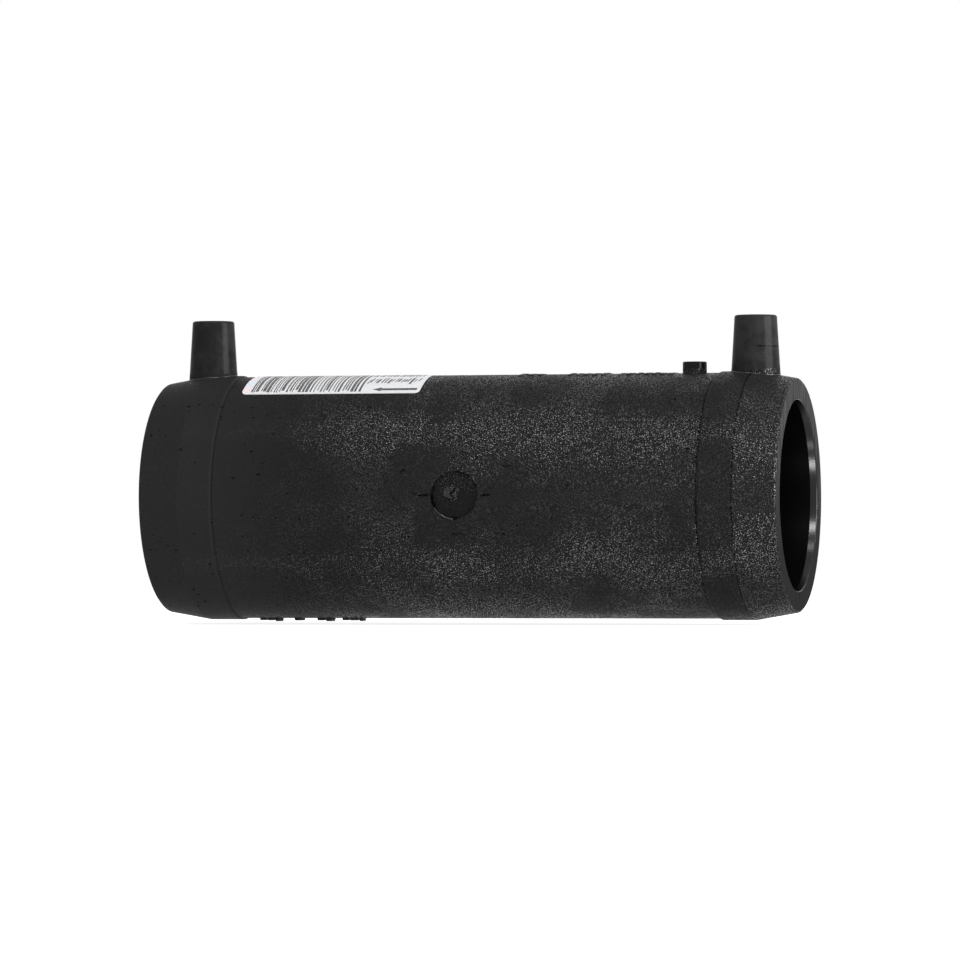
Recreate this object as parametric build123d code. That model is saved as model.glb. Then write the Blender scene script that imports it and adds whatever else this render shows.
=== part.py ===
from build123d import *
import os

# Electrofusion coupler for 63 mm polyethylene pipe. Millimetres.
# X runs along the bore, +Z is the side with the terminal shrouds,
# the origin is on the bore axis half way between the end faces.

# barrel, collars and tapers
HALF_LENGTH = 108.45
BORE_R = 31.75
WALL = 9.11
COLLAR_STEP = 0.45
COLLAR_WIDTH = 11.8
COLLAR_RAMP = 0.9
TAPER_LENGTH = 14.25
TAPER_DROP = 2.5
END_CHAMFER = 0.6
MOUTH_CHAMFER = 0.35

# terminal shrouds
SHROUD_INSET = 14.45
SHROUD_HEIGHT = 19.04
SHROUD_TOP_R = 7.05
SHROUD_FOOT_R = 8.35
SHROUD_FOOT_SINK = 2.86
SHROUD_RIM_R = 0.8
SHROUD_WALL = 1.95
WELL_DEPTH = 16.0

# terminal pins
PIN_R = 2.35
PIN_BELOW_RIM = 5.0
PIN_TIP_CHAMFER = 0.6
SHANK_R = 3.0
SHANK_ABOVE_FLOOR = 0.6

# fusion indicator
INDICATOR_INSET = 35.15
BOSS_R = 4.03
BOSS_HEIGHT = 3.74
BOSS_EDGE = 0.3
INDICATOR_R = 2.0
INDICATOR_WALL = 2.85
INDICATOR_BELOW_RIM = 0.5

# heating wire
COLD_MOUTH_LENGTH = 28.45
FUSION_LENGTH = 40.0
COIL_THICKNESS = 1.6
LEAD_WIDTH = 1.4
LEAD_COVER = 0.25

# mould gate on the barrel
GATE_X = 1.1
GATE_Z = 0.3
GATE_R = 7.9
GATE_DEPTH = 1.3
STUB_X = 0.2
STUB_Z = 1.0
STUB_R = 2.7
STUB_HEIGHT = 0.8

# notch in the right end face
NOTCH_WIDTH = 0.7
NOTCH_RADIAL = 2.6
NOTCH_DEPTH = 0.8

# label
LABEL_INSET = 30.85
LABEL_LENGTH = 61.8
LABEL_HALF_WIDTH = 22.1
LABEL_CORNER_R = 1.8
LABEL_THICKNESS = 0.15

# places that follow from the sizes above
BARREL_R = BORE_R + WALL
COLLAR_R = BARREL_R + COLLAR_STEP
END_R = COLLAR_R - TAPER_DROP
COLLAR_OUTER_X = HALF_LENGTH - TAPER_LENGTH
COLLAR_INNER_X = COLLAR_OUTER_X - COLLAR_WIDTH
SHROUD_X = HALF_LENGTH - SHROUD_INSET
SHROUD_FOOT_Z = BARREL_R - SHROUD_FOOT_SINK
SHROUD_TOP_Z = BARREL_R + SHROUD_HEIGHT
WELL_R = SHROUD_TOP_R - SHROUD_WALL
WELL_FLOOR_Z = SHROUD_TOP_Z - WELL_DEPTH
PIN_TIP_Z = SHROUD_TOP_Z - PIN_BELOW_RIM
SHANK_TOP_Z = WELL_FLOOR_Z + SHANK_ABOVE_FLOOR
COIL_OUTER_X = HALF_LENGTH - COLD_MOUTH_LENGTH
COIL_INNER_X = COIL_OUTER_X - FUSION_LENGTH
COIL_R = BORE_R + COIL_THICKNESS
LEAD_BOTTOM_Z = COIL_R + LEAD_COVER
SHANK_FOOT_Z = LEAD_BOTTOM_Z + LEAD_WIDTH
INDICATOR_X = HALF_LENGTH - INDICATOR_INSET
BOSS_TOP_Z = BARREL_R + BOSS_HEIGHT
INDICATOR_FOOT_Z = COIL_R + INDICATOR_WALL
INDICATOR_TOP_Z = BOSS_TOP_Z - INDICATOR_BELOW_RIM
GATE_FLOOR = BARREL_R - GATE_DEPTH
STUB_FACE = GATE_FLOOR + STUB_HEIGHT
LABEL_LEFT_X = -HALF_LENGTH + LABEL_INSET

SIDES = {"left": -1, "right": 1}


def turned(points):
    """Solid of revolution about the bore axis from (x, radius) points."""
    outline = make_face(Polyline(*points, close=True))
    return revolve(Plane.XZ * outline, Axis.X)


def upright(x, points):
    """Solid of revolution about a vertical axis at x from (radius, z) points."""
    outline = make_face(Polyline(*points, close=True))
    return Pos(x, 0, 0) * revolve(Plane.XZ * outline, Axis.Z)


def block(x0, x1, y0, y1, z0, z1):
    """Plain box between the given faces."""
    size = Box(x1 - x0, y1 - y0, z1 - z0)
    return Pos((x0 + x1) / 2, (y0 + y1) / 2, (z0 + z1) / 2) * size


def barrel_solid(skin=0.0):
    """Plain round barrel over the whole length between the collars."""
    return Rot(0, 90, 0) * Cylinder(BARREL_R + skin, 2 * COLLAR_INNER_X)


def end_solid(side):
    """Collar and end taper of one side, without the bore."""
    end = turned([
        (side * COLLAR_INNER_X, 0),
        (side * COLLAR_INNER_X, BARREL_R),
        (side * (COLLAR_INNER_X + COLLAR_RAMP), COLLAR_R),
        (side * COLLAR_OUTER_X, COLLAR_R),
        (side * HALF_LENGTH, END_R),
        (side * HALF_LENGTH, 0),
    ])
    rim = end.edges().filter_by(GeomType.CIRCLE).sort_by(lambda e: side * e.center().X)[-1:]
    return chamfer(rim, END_CHAMFER)


def shroud_solid(side):
    """Tapered round shroud, before its well is cut."""
    shroud = upright(side * SHROUD_X, [
        (0, SHROUD_FOOT_Z),
        (SHROUD_FOOT_R, SHROUD_FOOT_Z),
        (SHROUD_TOP_R, SHROUD_TOP_Z),
        (0, SHROUD_TOP_Z),
    ])
    rim = shroud.edges().filter_by(GeomType.CIRCLE).sort_by(Axis.Z)[-1:]
    return fillet(rim, SHROUD_RIM_R)


def indicator_boss():
    """Round boss that holds the fusion indicator."""
    boss = upright(INDICATOR_X, [
        (0, SHROUD_FOOT_Z),
        (BOSS_R, SHROUD_FOOT_Z),
        (BOSS_R, BOSS_TOP_Z),
        (0, BOSS_TOP_Z),
    ])
    rim = boss.edges().filter_by(GeomType.CIRCLE).sort_by(Axis.Z)[-1:]
    return chamfer(rim, BOSS_EDGE)


def bore_solid():
    """Through bore with a small chamfer at both mouths."""
    x = HALF_LENGTH
    c = MOUTH_CHAMFER
    return turned([
        (-x - 1, 0),
        (-x - 1, BORE_R + c + 1),
        (-x + c, BORE_R),
        (x - c, BORE_R),
        (x + 1, BORE_R + c + 1),
        (x + 1, 0),
    ])


def gate_cut():
    """Round spot faced into the barrel where the mould was filled."""
    plug = Cylinder(GATE_R, 4.0)
    return Pos(GATE_X, -GATE_FLOOR - 2.0, GATE_Z) * Rot(90, 0, 0) * plug


def gate_stub():
    """Stub of the sprue left standing in the gate spot."""
    depth = STUB_FACE - GATE_FLOOR + 1.0
    plug = Cylinder(STUB_R, depth)
    return Pos(STUB_X, -STUB_FACE + depth / 2, STUB_Z) * Rot(90, 0, 0) * plug


def end_notch():
    """Small notch at the bottom of the right end face."""
    return block(
        HALF_LENGTH - NOTCH_DEPTH, HALF_LENGTH + 1,
        -NOTCH_WIDTH / 2, NOTCH_WIDTH / 2,
        -BORE_R - NOTCH_RADIAL, -BORE_R + 1,
    )


def heating_coil():
    """Coated wire: a winding for each fusion zone, link and leads, one piece."""
    core = turned([
        (-HALF_LENGTH, 0), (-HALF_LENGTH, BORE_R), (HALF_LENGTH, BORE_R), (HALF_LENGTH, 0),
    ])
    half = LEAD_WIDTH / 2
    link_top = BORE_R + LEAD_WIDTH
    coil = block(-COIL_INNER_X, COIL_INNER_X, -half, half, BORE_R - 1, link_top) - core
    for side in SIDES.values():
        coil += turned([
            (side * COIL_INNER_X, BORE_R), (side * COIL_INNER_X, COIL_R),
            (side * COIL_OUTER_X, COIL_R), (side * COIL_OUTER_X, BORE_R),
        ])
        inner_end = COIL_OUTER_X - LEAD_WIDTH
        pad_end = SHROUD_X + SHANK_R
        xs = sorted([side * inner_end, side * COIL_OUTER_X])
        coil += block(xs[0], xs[1], -half, half, BORE_R + LEAD_WIDTH / 2, SHANK_FOOT_Z)
        xs = sorted([side * inner_end, side * pad_end])
        coil += block(xs[0], xs[1], -half, half, LEAD_BOTTOM_Z, SHANK_FOOT_Z)
    return coil


def terminal_pin(side):
    """Brass pin: thick shank held in the wall, thinner contact above it."""
    return upright(side * SHROUD_X, [
        (0, SHANK_FOOT_Z),
        (SHANK_R, SHANK_FOOT_Z),
        (SHANK_R, SHANK_TOP_Z),
        (PIN_R, SHANK_TOP_Z),
        (PIN_R, PIN_TIP_Z - PIN_TIP_CHAMFER),
        (PIN_R - PIN_TIP_CHAMFER, PIN_TIP_Z),
        (0, PIN_TIP_Z),
    ])


def fusion_indicator():
    """Plastic pin that rises when the joint has melted."""
    return upright(INDICATOR_X, [
        (0, INDICATOR_FOOT_Z),
        (INDICATOR_R, INDICATOR_FOOT_Z),
        (INDICATOR_R, INDICATOR_TOP_Z),
        (0, INDICATOR_TOP_Z),
    ])


def indicator_well():
    """Hole for the indicator, open at the top of the boss."""
    return upright(INDICATOR_X, [
        (0, INDICATOR_FOOT_Z),
        (INDICATOR_R, INDICATOR_FOOT_Z),
        (INDICATOR_R, BOSS_TOP_Z + 1),
        (0, BOSS_TOP_Z + 1),
    ])


def shroud_well(side):
    """Round well inside a shroud, open at the top."""
    return upright(side * SHROUD_X, [
        (0, WELL_FLOOR_Z),
        (WELL_R, WELL_FLOOR_Z),
        (WELL_R, SHROUD_TOP_Z + 1),
        (0, SHROUD_TOP_Z + 1),
    ])


def body(coil, pins):
    """The whole polyethylene moulding."""
    solid = barrel_solid()
    for side in SIDES.values():
        solid += end_solid(side)
        solid += shroud_solid(side)
    solid += indicator_boss()
    solid -= bore_solid()
    solid -= gate_cut()
    solid += gate_stub()
    solid -= end_notch()
    solid -= indicator_well()
    solid -= coil
    for side, pin in zip(SIDES.values(), pins):
        solid -= shroud_well(side)
        solid -= pin
    return solid


def label():
    """Thin sticker bent over the top of the barrel."""
    plan = RectangleRounded(LABEL_LENGTH, 2 * LABEL_HALF_WIDTH, LABEL_CORNER_R)
    middle = LABEL_LEFT_X + LABEL_LENGTH / 2
    column = Pos(middle, 0, 0) * extrude(plan, 2 * BARREL_R)
    return (barrel_solid(LABEL_THICKNESS) & column) - barrel_solid()


coil_part = heating_coil()
pin_parts = [terminal_pin(side) for side in SIDES.values()]
parts = {
    "body": body(coil_part, pin_parts),
    "heating_coil": coil_part,
    "fusion_indicator": fusion_indicator(),
    "label": label(),
}
for name, pin in zip(SIDES, pin_parts):
    parts["terminal_pin_" + name] = pin

os.makedirs("parts", exist_ok=True)
for name, part in parts.items():
    export_step(part, "parts/" + name + ".step")
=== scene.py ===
"""Looks, camera and light for the electrofusion coupler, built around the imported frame.

Units are metres. X runs along the bore, +Z is the side with the terminal shrouds, and the camera
looks from -Y. Angles on the barrel are in degrees from the top towards the front.
"""
import math
import random
from types import SimpleNamespace
import bpy
from mathutils import Matrix, Vector


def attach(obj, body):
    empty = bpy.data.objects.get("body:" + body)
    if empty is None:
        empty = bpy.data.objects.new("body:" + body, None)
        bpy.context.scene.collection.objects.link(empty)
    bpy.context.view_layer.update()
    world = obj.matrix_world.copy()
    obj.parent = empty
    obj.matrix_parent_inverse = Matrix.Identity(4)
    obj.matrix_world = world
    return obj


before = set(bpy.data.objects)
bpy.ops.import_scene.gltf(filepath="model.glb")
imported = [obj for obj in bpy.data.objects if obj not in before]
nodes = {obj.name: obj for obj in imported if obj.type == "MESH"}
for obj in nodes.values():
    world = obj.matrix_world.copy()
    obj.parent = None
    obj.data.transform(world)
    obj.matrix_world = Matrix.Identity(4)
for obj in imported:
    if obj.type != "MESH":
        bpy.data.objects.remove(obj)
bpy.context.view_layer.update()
scene = bpy.context.scene

MM = 0.001

# sizes and places of the moulding, as in the part's source
BARREL_R = 40.86 * MM
COLLAR_R = 41.31 * MM
COLLAR_START_X = 82.4 * MM
TAPER_START_X = 94.2 * MM
TAPER_LENGTH = 14.25
TAPER_DROP = 2.5
SHROUD_X = 94.0 * MM
INDICATOR_X = 73.3 * MM
GATE_X = 1.1 * MM
GATE_Z = 0.3 * MM
GATE_R = 7.9 * MM
STUB_X = 0.2 * MM
STUB_Z = 1.0 * MM
LABEL_THICKNESS = 0.15 * MM

# camera, fitted to the outline in the photo
CAMERA_DISTANCE = 1906.64 * MM
CAMERA_TARGET = Vector((-0.566, 0, 5.602)) * MM
CAMERA_YAW = 14.511
CAMERA_PITCH = -0.568
CAMERA_ROLL = -0.1235
CAMERA_LENS = 212.98
SENSOR_WIDTH = 36
CLIP_NEAR = 0.05
CLIP_FAR = 60

# floor: it lies just under the lowest raised mark
FLOOR_Z = -42.9 * MM
FLOOR_HALF_SIZE = 6.0
FLOOR_GLOW = 0.82

# world: strength of the soft fill at the back and at the front
FILL_BACK = 0.26
FILL_FRONT = 0.32

# lamps: name, place, aim, width, height and power in watts
LAMPS = (
    ("upper_main", (-0.35, -0.60, 1.20), (0.0, 0, 0), 0.20, 0.20, 3.2),
    ("upper_wide", (0.08, -0.60, 1.20), (0.0, 0, 0), 0.60, 0.20, 3.4),
    ("lower_main", (-0.35, -0.60, -1.20), (0.0, 0, 0), 0.20, 0.20, 2.6),
    ("lower_wide", (0.08, -0.60, -1.20), (0.0, 0, 0), 0.60, 0.20, 2.8),
    ("upper_right", (0.32, -1.00, 0.80), (0.1, 0, 0), 0.22, 0.22, 5.2),
    ("lower_right", (0.32, -1.00, -0.80), (0.1, 0, 0), 0.22, 0.22, 5.0),
    ("right_side", (0.55, -0.08, 0.12), (0.094, 0, 0.05), 0.34, 0.30, 3.6),
)

# soft edges of the body's regions: where the mask is 0, then where it is 1
BORE_EDGE = (32.0 * MM, 31.8 * MM)
FACE_EDGE = (108.35 * MM, 108.43 * MM)
ABOVE_EDGE = (41.9 * MM, 42.7 * MM)
COLLAR_INNER_EDGE = (82.2 * MM, 82.6 * MM)
COLLAR_OUTER_EDGE = (94.3 * MM, 94.0 * MM)
BOSS_EDGE = (5.2 * MM, 4.7 * MM)

# dark lines: the crease beside each collar and the ridge at the right taper, both darkened as painted
# shade, and the seam on the right shroud
CREASE_X = 82.3 * MM
CREASE_EDGE = (0.40 * MM, 0.10 * MM)
SEAM_Z = 49.4 * MM
SEAM_EDGE = (0.3 * MM, 0.1 * MM)
SEAM_START = (95.5 * MM, 96.5 * MM)

# mould gate, on the front of the barrel only
GATE_FRONT_Y = -35.0 * MM
SPOT_EDGE = (8.0 * MM, 7.7 * MM)
# the ring round the gate's rim is darkened as painted shade
RING_INNER_EDGE = (7.0 * MM, 7.5 * MM)
RING_OUTER_EDGE = (8.3 * MM, 8.0 * MM)
STUB_EDGE = (2.9 * MM, 2.4 * MM)
# the slits are dents whose darkness is painted shade
SLIT_X = 10.5 * MM
SLIT_LENGTH_EDGE = (2.0 * MM, 1.4 * MM)
SLIT_WIDTH_EDGE = (0.5 * MM, 0.2 * MM)

# changes along the barrel: from x, to x, value at the first, value at the second
# painted light: the barrel's grey turns lighter towards its left end
LEFT_PAINTED_LIGHT = (-45.0 * MM, -95.0 * MM, 0.0, 0.70)
# painted shade in the creases, weaker to the left and stronger to the right
CREASE_PAINTED_SHADE = (-10.0 * MM, 10.0 * MM, 0.35, 0.8)
POLISH = (-65.0 * MM, -20.0 * MM, 0.08, 1.0)
GRAIN_DEPTH = (-75.0 * MM, -30.0 * MM, 0.28, 1.0)

# scales of the body's textures, in cells per metre
DOME_SCALE = 1700
FINE_SCALE = 2300
TIP_SCALE = 2350
MID_SCALE = 700
CLOUD_SCALE = 42
MOTTLE_SCALE = 110
BREAK_SCALE = 230
SPECK_SCALES = (420, 560, 760)
STREAK_SCALES = (200, 2200, 55)

# the body's greys, as linear values; the left end's grey and the end face's bottom and top greys are
# painted light and shade, and the dark mark and gate edge greys serve partly as painted shade
TONES = {
    "pit": 0.0122, "dome": 0.0178, "left end lit": 0.0250, "tip": 0.025, "dark mark": 0.001,
    "shroud low": 0.0145, "shroud high": 0.0260, "seam": 0.002, "boss": 0.006,
    "gate spot": 0.0085, "gate rim painted shade": 0.0008, "stub low": 0.003, "stub high": 0.032,
    "face streak": 0.010, "face bottom shaded": 0.016, "face top lit": 0.075, "bore": 0.002,
}

# coat weights, and how the collar weakens polish and grain
BORE_COAT = 0.62
BOSS_COAT = 0.2
SHROUD_COAT = 0.07
COLLAR_POLISH_LOSS = 0.55
COLLAR_GRAIN_LOSS = 0.5

# lead-in of the bore at each mouth, as shading only: where it begins and its slope
LEAD_IN_X = 106.0 * MM
LEAD_IN_SLOPE = -0.22


# ---------------------------------------------------------------- camera
def make_camera():
    """A long lens from the front, a little towards the open right end."""
    yaw, pitch, roll = (math.radians(a) for a in (CAMERA_YAW, CAMERA_PITCH, CAMERA_ROLL))
    back = Vector((math.sin(yaw) * math.cos(pitch), -math.cos(yaw) * math.cos(pitch), math.sin(pitch)))
    right = Vector((math.cos(yaw), math.sin(yaw), 0))
    up = back.cross(right)
    right, up = (
        right * math.cos(roll) + up * math.sin(roll),
        up * math.cos(roll) - right * math.sin(roll),
    )
    turn = Matrix((right, up, back)).transposed().to_4x4()
    data = bpy.data.cameras.new("camera")
    data.sensor_width = SENSOR_WIDTH
    data.lens = CAMERA_LENS
    data.clip_start = CLIP_NEAR
    data.clip_end = CLIP_FAR
    cam = bpy.data.objects.new("camera", data)
    cam.matrix_world = Matrix.Translation(CAMERA_TARGET + back * CAMERA_DISTANCE) @ turn
    scene.collection.objects.link(cam)
    scene.camera = cam


# ---------------------------------------------------------------- node helpers
class Net:
    """Short hand for building the node tree of a material or of the world."""

    def __init__(self, owner):
        owner.use_nodes = True
        self.owner = owner
        self.tree = owner.node_tree
        self._coord = None
        self._xyz = None

    def put(self, socket, value):
        if isinstance(value, bpy.types.NodeSocket):
            self.tree.links.new(value, socket)
        else:
            socket.default_value = value

    def math(self, op, a, b=0.0):
        made = self.tree.nodes.new("ShaderNodeMath")
        made.operation = op
        for socket, value in zip(made.inputs, (a, b)):
            self.put(socket, value)
        return made.outputs[0]

    def fold(self, op, first, *others):
        for other in others:
            first = self.math(op, first, other)
        return first

    def add(self, *values):
        return self.fold("ADD", *values)

    def mul(self, *values):
        return self.fold("MULTIPLY", *values)

    def most(self, *values):
        return self.fold("MAXIMUM", *values)

    def sub(self, a, b):
        return self.math("SUBTRACT", a, b)

    def size(self, a):
        return self.math("ABSOLUTE", a)

    def gap(self, a, b):
        return self.size(self.sub(a, b))

    def length(self, a, b):
        return self.math("SQRT", self.add(self.mul(a, a), self.mul(b, b)))

    def ramp(self, value, low, high, out_low=0.0, out_high=1.0):
        made = self.tree.nodes.new("ShaderNodeMapRange")
        made.interpolation_type = "SMOOTHSTEP"
        for key, v in (("Value", value), ("From Min", low), ("From Max", high),
                       ("To Min", out_low), ("To Max", out_high)):
            self.put(made.inputs[key], v)
        return made.outputs["Result"]

    def mix(self, factor, a, b):
        made = self.tree.nodes.new("ShaderNodeMix")
        made.data_type = "RGBA"
        self.put(made.inputs["Factor"], factor)
        self.put(made.inputs["A"], a)
        self.put(made.inputs["B"], b)
        return made.outputs["Result"]

    def noise(self, scale, detail=2.0, rough=0.5, vector=None):
        made = self.tree.nodes.new("ShaderNodeTexNoise")
        made.inputs["Scale"].default_value = scale
        made.inputs["Detail"].default_value = detail
        made.inputs["Roughness"].default_value = rough
        self.put(made.inputs["Vector"], vector or self.coord())
        return made.outputs["Fac"]

    def voronoi(self, scale):
        made = self.tree.nodes.new("ShaderNodeTexVoronoi")
        made.inputs["Scale"].default_value = scale
        self.put(made.inputs["Vector"], self.coord())
        return made.outputs["Distance"]

    def scaled(self, scales):
        made = self.tree.nodes.new("ShaderNodeMapping")
        made.inputs["Scale"].default_value = scales
        self.put(made.inputs["Vector"], self.coord())
        return made.outputs["Vector"]

    def split(self, vector):
        made = self.tree.nodes.new("ShaderNodeSeparateXYZ")
        self.put(made.inputs[0], vector)
        return tuple(made.outputs)

    def coord(self):
        if self._coord is None:
            self._coord = self.tree.nodes.new("ShaderNodeTexCoord").outputs["Object"]
        return self._coord

    def xyz(self):
        if self._xyz is None:
            self._xyz = self.split(self.coord())
        return self._xyz

    def bump(self, height, strength, distance, normal=None):
        made = self.tree.nodes.new("ShaderNodeBump")
        self.put(made.inputs["Height"], height)
        self.put(made.inputs["Strength"], strength)
        made.inputs["Distance"].default_value = distance
        if normal is not None:
            self.put(made.inputs["Normal"], normal)
        return made.outputs["Normal"]

    def seen(self):
        """1 for the rays that have to see a white background: camera, clear and glossy ones."""
        ray = self.tree.nodes.new("ShaderNodeLightPath").outputs
        return self.most(ray["Is Camera Ray"], ray["Is Transmission Ray"], ray["Is Glossy Ray"])

    def set(self, **values):
        shader = self.tree.nodes["Principled BSDF"]
        for key, value in values.items():
            self.put(shader.inputs[key.replace("_", " ")], value)
        return self.owner


def material_net(name):
    return Net(bpy.data.materials.new(name))


def grey(level):
    return (level, level, level, 1)


def tone(name):
    return grey(TONES[name])


# ---------------------------------------------------------------- the body's material
def body_zones(n):
    """Masks for the regions of the moulding, each 1 inside and 0 outside."""
    x, y, z = n.xyz()
    radius = n.length(y, z)
    far = n.size(x)
    bore = n.ramp(radius, *BORE_EDGE)
    face = n.ramp(far, *FACE_EDGE)
    above = n.ramp(radius, *ABOVE_EDGE)
    skin = n.sub(1.0, n.most(bore, face, above))
    line = n.math("MINIMUM", n.gap(far, CREASE_X), n.gap(x, TAPER_START_X))
    return SimpleNamespace(
        x=x, z=z, far=far, bore=bore, face=face, above=above, skin=skin,
        collar=n.mul(n.ramp(far, *COLLAR_INNER_EDGE), n.ramp(far, *COLLAR_OUTER_EDGE)),
        crease=n.mul(n.ramp(line, *CREASE_EDGE), skin),
        boss=n.mul(n.ramp(n.gap(x, INDICATOR_X), *BOSS_EDGE), above),
        seam=n.mul(n.ramp(n.gap(z, SEAM_Z), *SEAM_EDGE), above, n.ramp(x, *SEAM_START)),
    )


def gate_zones(n):
    """Masks for the mould gate: its disc, the disc's edge in broken arcs, the stub and two slits; the
    edge and the slits are darkened as painted shade.
    """
    x, y, z = n.xyz()
    front = n.math("LESS_THAN", y, GATE_FRONT_Y)
    across = n.sub(x, GATE_X)
    up = n.sub(z, GATE_Z)
    radius = n.length(across, up)
    stub_radius = n.length(n.sub(x, STUB_X), n.sub(z, STUB_Z))
    broken = n.ramp(n.noise(BREAK_SCALE, 1.0, 0.5), 0.46, 0.60)
    slit_along = n.ramp(n.gap(n.size(across), SLIT_X), *SLIT_LENGTH_EDGE)
    slit_across = n.ramp(n.size(up), *SLIT_WIDTH_EDGE)
    ring = n.mul(n.ramp(radius, *RING_INNER_EDGE), n.ramp(radius, *RING_OUTER_EDGE))
    return SimpleNamespace(
        spot=n.mul(n.ramp(radius, *SPOT_EDGE), front),
        edge=n.mul(ring, front, broken),
        stub=n.mul(n.ramp(stub_radius, *STUB_EDGE), front),
        slit=n.mul(slit_along, slit_across, front),
    )


def body_texture(n, skin):
    """Spark-eroded grain, its shiny tips, dark specks, cloudy patches and cut-face streaks."""
    cells = n.voronoi(DOME_SCALE)
    mid = n.noise(MID_SCALE, 2.0, 0.6)
    fine = n.noise(FINE_SCALE, 1.0, 0.5)
    cloud = n.noise(CLOUD_SCALE, 3.0, 0.6)
    tips = n.ramp(n.noise(TIP_SCALE, 1.0, 0.5), 0.54, 0.62)
    specks = n.ramp(n.noise(1.0, 1.0, 0.5, n.scaled(SPECK_SCALES)), 0.71, 0.76)
    return SimpleNamespace(
        cells=cells, mid=mid, cloud=cloud,
        patch=n.ramp(cloud, 0.38, 0.60, 0.55, 1.0),
        grain=n.add(n.mul(cells, cells, -1.0), n.mul(mid, 0.25), n.mul(fine, 0.05)),
        tips=n.mul(tips, skin, n.ramp(cloud, 0.36, 0.60, 0.32, 1.0)),
        specks=n.mul(specks, skin),
        streaks=n.noise(1.0, 3.0, 0.6, n.scaled(STREAK_SCALES)),
    )


def body_colour(n, zone, gate, texture):
    """Greys of the plastic, laid over one another region by region; among them are painted light on the
    end faces' tops and the barrel's left end, and painted shade in the creases, in the gate's slits and
    round the gate's rim.
    """
    # dark specks of the skin, with painted shade in the gate's slits and along the creases
    dark = n.most(
        n.mul(texture.specks, 0.8),
        # painted shade in the gate's slits
        gate.slit,
        # painted shade along the creases
        n.mul(zone.crease, n.ramp(zone.x, *CREASE_PAINTED_SHADE)),
    )
    mottle = n.ramp(n.noise(MOTTLE_SCALE, 3.0, 0.65), 0.38, 0.62)
    shroud = n.mix(mottle, tone("shroud low"), tone("shroud high"))
    stub = n.mix(n.ramp(texture.mid, 0.42, 0.58), tone("stub low"), tone("stub high"))
    # painted light and shade: the end face goes from darker at the bottom to lighter at the top
    cut = n.mix(n.ramp(zone.z, -30.0 * MM, 40.0 * MM), tone("face bottom shaded"), tone("face top lit"))
    cut = n.mix(n.ramp(texture.streaks, 0.30, 0.70), tone("face streak"), cut)
    base = n.mix(n.ramp(texture.cells, 0.5, 0.1), tone("pit"), tone("dome"))
    for mask, colour in (
        # painted light towards the left end of the barrel
        (n.ramp(zone.x, *LEFT_PAINTED_LIGHT), tone("left end lit")),
        (texture.tips, tone("tip")),
        (dark, tone("dark mark")),
        (zone.above, shroud),
        (zone.seam, tone("seam")),
        (zone.boss, tone("boss")),
        (gate.spot, tone("gate spot")),
        (gate.stub, stub),
        # painted shade round the gate's rim, in broken arcs
        (gate.edge, tone("gate rim painted shade")),
        # end faces: streaks, with painted light making the top lighter and painted shade the bottom
        # darker
        (zone.face, cut),
        (zone.bore, tone("bore")),
    ):
        base = n.mix(mask, base, colour)
    return base


def body_roughness(n, zone, gate, texture):
    """Roughness of the skin, and what each region adds to it or takes from it."""
    rough = n.ramp(texture.cloud, 0.3, 0.7, 0.48, 0.54)
    for mask, change in (
        (texture.tips, -0.30),
        (zone.bore, -0.38),
        (gate.spot, 0.1),
        (zone.face, 0.22),
        (zone.above, -0.24),
        (texture.specks, 0.3),
    ):
        rough = n.add(rough, n.mul(mask, change))
    return rough


def body_coat(n, zone, texture):
    """Weight of the coat: strong on the grain's tips and in the bore."""
    kept = n.sub(1.0, n.mul(zone.collar, COLLAR_POLISH_LOSS))
    polished = n.mul(texture.tips, n.ramp(zone.x, *POLISH), kept)
    return n.most(
        polished,
        n.mul(zone.bore, BORE_COAT),
        n.mul(zone.boss, BOSS_COAT),
        n.mul(zone.above, SHROUD_COAT),
    )


def body_normal(n, zone, gate, texture):
    """Bumps of the skin, the dark marks, the cut faces and the bore's lead-in."""
    kept = n.sub(1.0, n.mul(zone.collar, COLLAR_GRAIN_LOSS))
    worn = n.mul(n.ramp(zone.x, *GRAIN_DEPTH), kept)
    strength = n.mul(zone.skin, texture.patch, n.sub(worn, gate.spot))
    strength = n.add(n.most(strength, 0.0), 0.04)
    normal = n.bump(texture.grain, strength, 0.12 * MM)
    normal = n.bump(texture.specks, 0.5, -0.3 * MM, normal)
    normal = n.bump(gate.slit, 0.8, -0.4 * MM, normal)
    normal = n.bump(zone.crease, 0.35, -0.2 * MM, normal)
    normal = n.bump(texture.streaks, n.mul(zone.face, 0.3), 0.1 * MM, normal)
    lead_in = n.most(n.sub(zone.far, LEAD_IN_X), 0.0)
    return n.bump(lead_in, zone.bore, LEAD_IN_SLOPE, normal)


def body_material():
    """Black polyethylene: spark-eroded barrel, smooth shrouds, cut end faces, glossy bore."""
    n = material_net("black_pe_grained")
    zone = body_zones(n)
    gate = gate_zones(n)
    texture = body_texture(n, zone.skin)
    normal = body_normal(n, zone, gate, texture)
    return n.set(Base_Color=body_colour(n, zone, gate, texture),
                 Roughness=body_roughness(n, zone, gate, texture),
                 Normal=normal, Specular_IOR_Level=0.010, IOR=1.5,
                 Coat_Weight=body_coat(n, zone, texture), Coat_Roughness=0.20, Coat_Normal=normal)


# ---------------------------------------------------------------- the other materials
def smooth_black():
    """Glossier black plastic for the fusion indicator, the shroud feet and the gate's flash."""
    n = material_net("black_pe_gloss")
    wave = n.noise(700, 2.0, 0.5)
    return n.set(Base_Color=n.mix(wave, grey(0.005), grey(0.009)),
                 Roughness=n.ramp(wave, 0.3, 0.7, 0.16, 0.26),
                 Normal=n.bump(wave, 0.15, 0.2 * MM))


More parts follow.
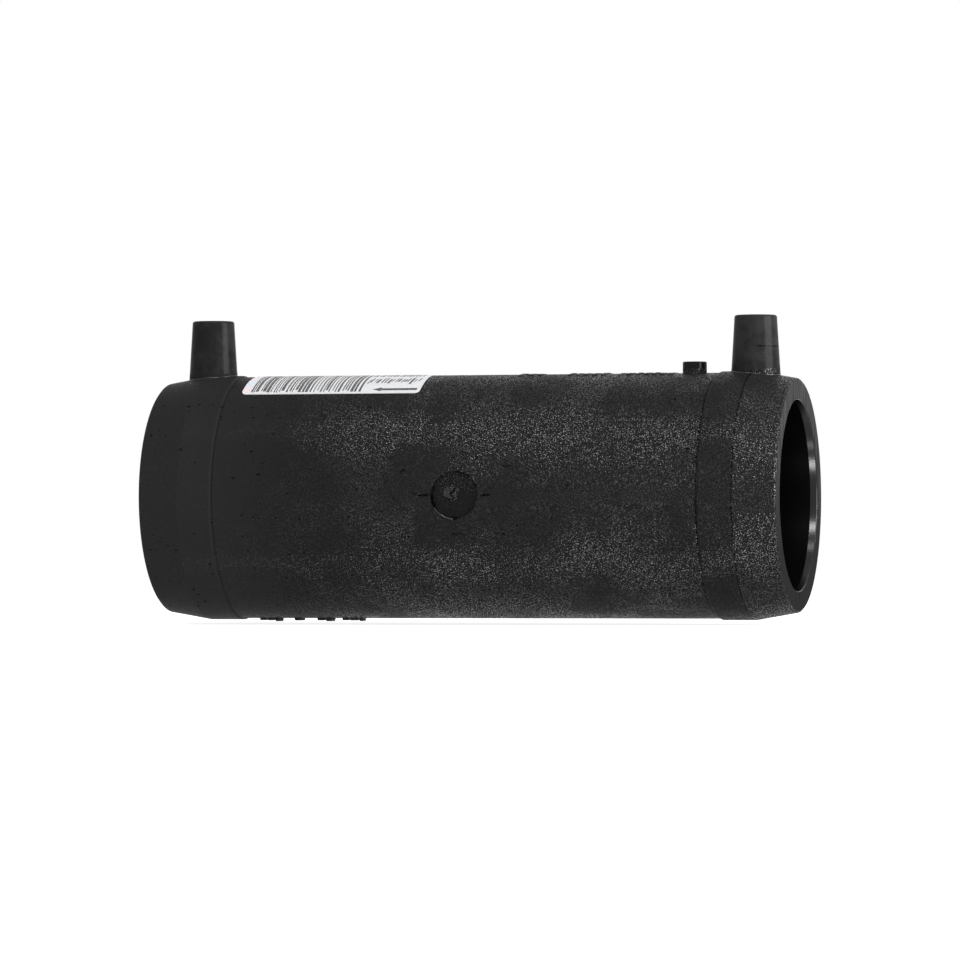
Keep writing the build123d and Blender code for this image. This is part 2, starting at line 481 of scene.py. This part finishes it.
def coil_material():
    """Coated wire turns lying side by side at the bore surface."""
    pitch = 2.5 * MM
    n = material_net("coated_turns")
    x = n.xyz()[0]
    turns = n.math("SINE", n.mul(x, 2 * math.pi / pitch))
    shade = n.noise(300, 2.0, 0.5)
    return n.set(Base_Color=n.mix(shade, grey(0.006), grey(0.012)),
                 Roughness=n.ramp(shade, 0.3, 0.7, 0.22, 0.34),
                 Normal=n.bump(turns, 0.8, 0.6 * MM))


def brass_material():
    """Turned brass with fine tool marks."""
    pitch = 0.16 * MM
    n = material_net("turned_brass")
    z = n.xyz()[2]
    marks = n.math("SINE", n.mul(z, 2 * math.pi / pitch))
    stain = n.noise(900, 3.0, 0.6)
    return n.set(Base_Color=n.mix(stain, (0.60, 0.42, 0.16, 1), (0.78, 0.58, 0.26, 1)),
                 Metallic=1.0, Roughness=n.ramp(stain, 0.3, 0.7, 0.22, 0.4),
                 Normal=n.bump(marks, 0.2, 0.03 * MM))


def film_material():
    """White satin film with a faint cool and warm tint at its left margin."""
    n = material_net("label_film")
    x = n.xyz()[0]
    crinkle = n.noise(420, 3.0, 0.6)
    white = n.mix(crinkle, (0.64, 0.65, 0.67, 1), (0.78, 0.78, 0.79, 1))
    tint = n.mix(n.ramp(n.noise(240, 1.0, 0.5), 0.4, 0.6), (0.62, 0.76, 0.95, 1), (0.95, 0.72, 0.76, 1))
    margin = n.ramp(x, -73.5 * MM, -76.5 * MM, 0.0, 0.6)
    return n.set(Base_Color=n.mix(margin, white, tint),
                 Roughness=n.ramp(crinkle, 0.3, 0.7, 0.3, 0.42),
                 Normal=n.bump(crinkle, 0.25, 0.2 * MM))


def ink_material():
    """Thermal transfer ink, slightly broken up."""
    n = material_net("label_ink")
    fleck = n.noise(2600, 2.0, 0.6)
    return n.set(Base_Color=n.mix(n.ramp(fleck, 0.50, 0.66), grey(0.020), grey(0.20)),
                 Roughness=n.ramp(fleck, 0.3, 0.7, 0.4, 0.55),
                 Normal=n.bump(fleck, 0.1, 0.1 * MM))


# ---------------------------------------------------------------- extra pieces
def on_barrel(x, angle, lift):
    """Point above the barrel's surface; angle in degrees from the top towards the front."""
    a = math.radians(angle)
    r = BARREL_R + lift
    return Vector((x, -r * math.sin(a), r * math.cos(a)))


def mesh_object(name, verts, faces, material):
    mesh = bpy.data.meshes.new(name)
    mesh.from_pydata([tuple(v) for v in verts], [], faces)
    mesh.validate()
    mesh.materials.append(material)
    made = bpy.data.objects.new(name, mesh)
    scene.collection.objects.link(made)
    return made


def strip(verts, faces, x0, x1, a0, a1, lift, lean=0.0):
    """Thin curved patch of print between two places along the barrel and two angles."""
    step = 2.0
    count = max(1, int(abs(a1 - a0) / step))
    first = len(verts)
    for i in range(count + 1):
        t = i / count
        angle = a0 + (a1 - a0) * t
        verts.append(on_barrel(x0 + lean * t, angle, lift))
        verts.append(on_barrel(x1 + lean * t, angle, lift))
    for i in range(count):
        a = first + 2 * i
        faces.append((a, a + 1, a + 3, a + 2))


def print_bars(rng, verts, faces, lift):
    """Tall bars of uneven width, then short slanted dashes over bars."""
    bars_start = -74.4 * MM
    bars_end = -36.0 * MM
    dashes_end = -17.6 * MM
    near_edge = 31.2
    far_edge = -29.5
    x = bars_start
    while x < bars_end:
        wide = rng.choice((0.34, 0.42, 0.55, 0.75, 1.0)) * MM
        near = near_edge - (rng.random() < 0.3) * rng.uniform(0.6, 2.0)
        strip(verts, faces, x, x + wide, near, far_edge, lift)
        x += wide + rng.choice((0.32, 0.42, 0.6, 0.8)) * MM
    while x < dashes_end:
        wide = rng.choice((0.36, 0.5, 0.8)) * MM
        near = 23.6 - rng.random() * 4.0
        strip(verts, faces, x, x + wide, near, 14.0 + rng.random() * 3, lift, 0.5 * MM)
        strip(verts, faces, x, x + wide, 10.5, far_edge + rng.random() * 4, lift)
        x += wide + rng.choice((0.4, 0.6, 0.9)) * MM


def print_arrow(verts, faces, lift):
    """Thick arrow that points to the left."""
    strip(verts, faces, -29.6 * MM, -17.0 * MM, 30.2, 28.2, lift)
    tip = len(verts)
    verts.append(on_barrel(-32.4 * MM, 29.2, lift))
    verts.append(on_barrel(-29.4 * MM, 31.0, lift))
    verts.append(on_barrel(-29.4 * MM, 27.2, lift))
    faces.append((tip, tip + 1, tip + 2))


def label_print(ink):
    """Generic print: bars that hold no code, small dashes and an arrow."""
    lift = LABEL_THICKNESS + 0.03 * MM
    verts, faces = [], []
    print_bars(random.Random(7), verts, faces, lift)
    print_arrow(verts, faces, lift)
    made = mesh_object("label_print", verts, faces, ink)
    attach(made, "root")


def pad(verts, faces, x0, x1, a0, a1, high):
    """Low raised mark with sloping sides, moulded on the barrel and sunk a little into it."""
    slope = 0.25 * MM
    sunk = -0.3 * MM
    turn = math.degrees(slope / BARREL_R)
    first = len(verts)
    for px, pa in ((x0, a0), (x1, a0), (x1, a1), (x0, a1)):
        verts.append(on_barrel(px, pa, sunk))
    x0, x1 = x0 + slope, x1 - slope
    a0, a1 = a0 + turn, a1 - turn
    for px, pa in ((x0, a0), (x1, a0), (x1, a1), (x0, a1)):
        verts.append(on_barrel(px, pa, high))
    for i in range(4):
        j = (i + 1) % 4
        faces.append((first + i, first + j, first + 4 + j, first + 4 + i))
    faces.append((first + 4, first + 5, first + 6, first + 7))


def raised_marks(material):
    """Generic raised dashes where the moulding carries its marks: three rows on top, one below."""
    top_runs = ((14.5, 24.5), (31.5, 46.5), (48.5, 68.0))
    top_rows = (-6.5, 0.8, 8.0)
    row_half = 2.6
    under_runs = ((-77.0, -70.0), (-64.8, -61.4), (-56.8, -51.2), (-48.0, -41.0))
    under_angles = (176.0, 184.0)
    under_space = 0.6
    rng = random.Random(11)
    verts, faces = [], []
    for start, end in top_runs:
        x = start
        while x < end - 1.0:
            wide = rng.uniform(1.6, 2.8)
            for row in top_rows:
                high = rng.uniform(0.16, 0.34) * MM
                pad(verts, faces, x * MM, (x + wide) * MM, row - row_half, row + row_half, high)
            x += wide + rng.uniform(0.7, 1.1)
    for start, end in under_runs:
        x = start
        while x < end - 0.8:
            wide = min(rng.uniform(1.6, 2.6), end - x)
            pad(verts, faces, x * MM, (x + wide) * MM, *under_angles, rng.uniform(0.7, 1.1) * MM)
            x += wide + under_space
    made = mesh_object("raised_marks", verts, faces, material)
    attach(made, "root")


def tube(name, path, radius, material, closed=False):
    """Thin round bead along a path, as a bevelled curve."""
    curve = bpy.data.curves.new(name, "CURVE")
    curve.dimensions = "3D"
    curve.bevel_depth = radius
    curve.bevel_resolution = 2
    line = curve.splines.new("POLY")
    line.points.add(len(path) - 1)
    for point, place in zip(line.points, path):
        point.co = (*place, 1)
    line.use_cyclic_u = closed
    made = bpy.data.objects.new(name, curve)
    scene.collection.objects.link(made)
    curve.materials.append(material)
    curve.use_fill_caps = not closed
    return made


def surface_r(x):
    """Outer radius of the moulding at a place along its length."""
    far = abs(x)
    if far < COLLAR_START_X:
        return BARREL_R
    if far < TAPER_START_X:
        return COLLAR_R
    return COLLAR_R - (far - TAPER_START_X) * TAPER_DROP / TAPER_LENGTH


def shroud_feet(material):
    """Small bead round the foot of each shroud."""
    foot_r = 8.22 * MM
    bead_r = 0.22 * MM
    steps = 64
    for name, centre in (("left", -SHROUD_X), ("right", SHROUD_X)):
        path = []
        for i in range(steps):
            a = 2 * math.pi * i / steps
            px = centre + foot_r * math.cos(a)
            py = foot_r * math.sin(a)
            path.append((px, py, math.sqrt(surface_r(px) ** 2 - py ** 2)))
        made = tube("shroud_foot_" + name, path, bead_r, material, closed=True)
        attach(made, "root")


def gate_scar(material):
    """Lumpy broken face of the sprue stub, as rings of points round a middle one."""
    rng = random.Random(5)
    face = -(BARREL_R - 0.5 * MM)
    scar_r = 2.55 * MM
    rings, spokes = 5, 20
    verts, faces = [(STUB_X, face - 0.25 * MM, STUB_Z)], []
    for ring in range(1, rings + 1):
        t = ring / rings
        for i in range(spokes):
            a = 2 * math.pi * i / spokes
            r = scar_r * t * (1 + 0.08 * math.sin(3 * a + 1))
            lump = (0.55 * math.sin(2.3 * a + 0.5) * t + rng.uniform(-0.25, 0.25)) * (1 - t ** 4)
            rim_depth = 0.9 if ring == rings else 0.0
            out = face + (lump * 0.55 + rim_depth - 0.15) * MM
            verts.append((STUB_X + r * math.cos(a), out, STUB_Z + r * math.sin(a)))
    for i in range(spokes):
        faces.append((0, 1 + i, 1 + (i + 1) % spokes))
    for ring in range(rings - 1):
        for i in range(spokes):
            a = 1 + ring * spokes + i
            b = 1 + ring * spokes + (i + 1) % spokes
            faces.append((a, a + spokes, b + spokes, b))
    scar = mesh_object("gate_scar", verts, faces, material)
    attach(scar, "root")


def gate_flash(material):
    """Sliver of flash along the lower left of the gate's disc."""
    start_angle = 212
    step_angle = 3.4
    points = 17
    sliver_r = 0.26 * MM
    path = []
    for i in range(points):
        a = math.radians(start_angle + step_angle * i)
        px = GATE_X + GATE_R * math.cos(a)
        pz = GATE_Z + GATE_R * math.sin(a)
        path.append((px, -math.sqrt(BARREL_R ** 2 - pz ** 2) - 0.02 * MM, pz))
    sliver = tube("gate_flash", path, sliver_r, material)
    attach(sliver, "root")


# ---------------------------------------------------------------- stage and light
def stage_floor():
    """White floor that keeps the object's shadow. Three lamps stand below it, so light passes."""
    n = material_net("white_floor")
    shade = n.noise(3.0, 1.0, 0.5)
    n.set(Base_Color=n.mix(shade, grey(0.78), grey(0.82)), Roughness=0.9, Specular_IOR_Level=0.0)
    glow = n.tree.nodes.new("ShaderNodeEmission")
    glow.inputs["Color"].default_value = grey(1.0)
    n.put(glow.inputs["Strength"], n.mul(n.seen(), FLOOR_GLOW))
    total = n.tree.nodes.new("ShaderNodeAddShader")
    n.put(total.inputs[0], n.tree.nodes["Principled BSDF"].outputs[0])
    n.put(total.inputs[1], glow.outputs[0])
    n.put(n.tree.nodes["Material Output"].inputs["Surface"], total.outputs[0])
    s = FLOOR_HALF_SIZE
    verts = [(-s, -s, FLOOR_Z), (s, -s, FLOOR_Z), (s, s, FLOOR_Z), (-s, s, FLOOR_Z)]
    floor = mesh_object("floor", verts, [(0, 1, 2, 3)], n.owner)
    floor.visible_shadow = False
    floor.visible_diffuse = False
    floor.visible_glossy = False


def world_light():
    """White to the camera, clear and glossy rays, a soft fill for the rest, fuller in front."""
    world = bpy.data.worlds.new("world")
    scene.world = world
    n = Net(world)
    side = n.tree.nodes.new("ShaderNodeTexCoord").outputs["Generated"]
    fill = n.tree.nodes["Background"]
    fill.inputs["Color"].default_value = grey(1.0)
    n.put(fill.inputs["Strength"], n.ramp(n.split(side)[1], 0.45, -0.10, FILL_BACK, FILL_FRONT))
    white = n.tree.nodes.new("ShaderNodeBackground")
    white.inputs["Color"].default_value = grey(1.0)
    white.inputs["Strength"].default_value = 1.0
    mix = n.tree.nodes.new("ShaderNodeMixShader")
    for socket, value in zip(mix.inputs, (n.seen(), fill.outputs[0], white.outputs[0])):
        n.put(socket, value)
    n.put(n.tree.nodes["World Output"].inputs["Surface"], mix.outputs[0])


def soft_box(name, place, aim, width, height, power):
    """Rectangular lamp that faces its aim."""
    data = bpy.data.lights.new(name, "AREA")
    data.shape = "RECTANGLE"
    data.size = width
    data.size_y = height
    data.energy = power
    lamp = bpy.data.objects.new(name, data)
    lamp.location = place
    lamp.rotation_euler = (Vector(aim) - Vector(place)).to_track_quat("-Z", "Y").to_euler()
    scene.collection.objects.link(lamp)


make_camera()
plastic = body_material()
gloss = smooth_black()
brass = brass_material()
materials = {
    "body": plastic,
    "heating_coil": coil_material(),
    "fusion_indicator": gloss,
    "label": film_material(),
    "terminal_pin_left": brass,
    "terminal_pin_right": brass,
}
for name, material in materials.items():
    for slot in nodes[name].material_slots:
        slot.material = material

label_print(ink_material())
raised_marks(plastic)
shroud_feet(gloss)
gate_scar(plastic)
gate_flash(gloss)
stage_floor()
world_light()
for lamp_values in LAMPS:
    soft_box(*lamp_values)

scene.view_settings.view_transform = "Standard"
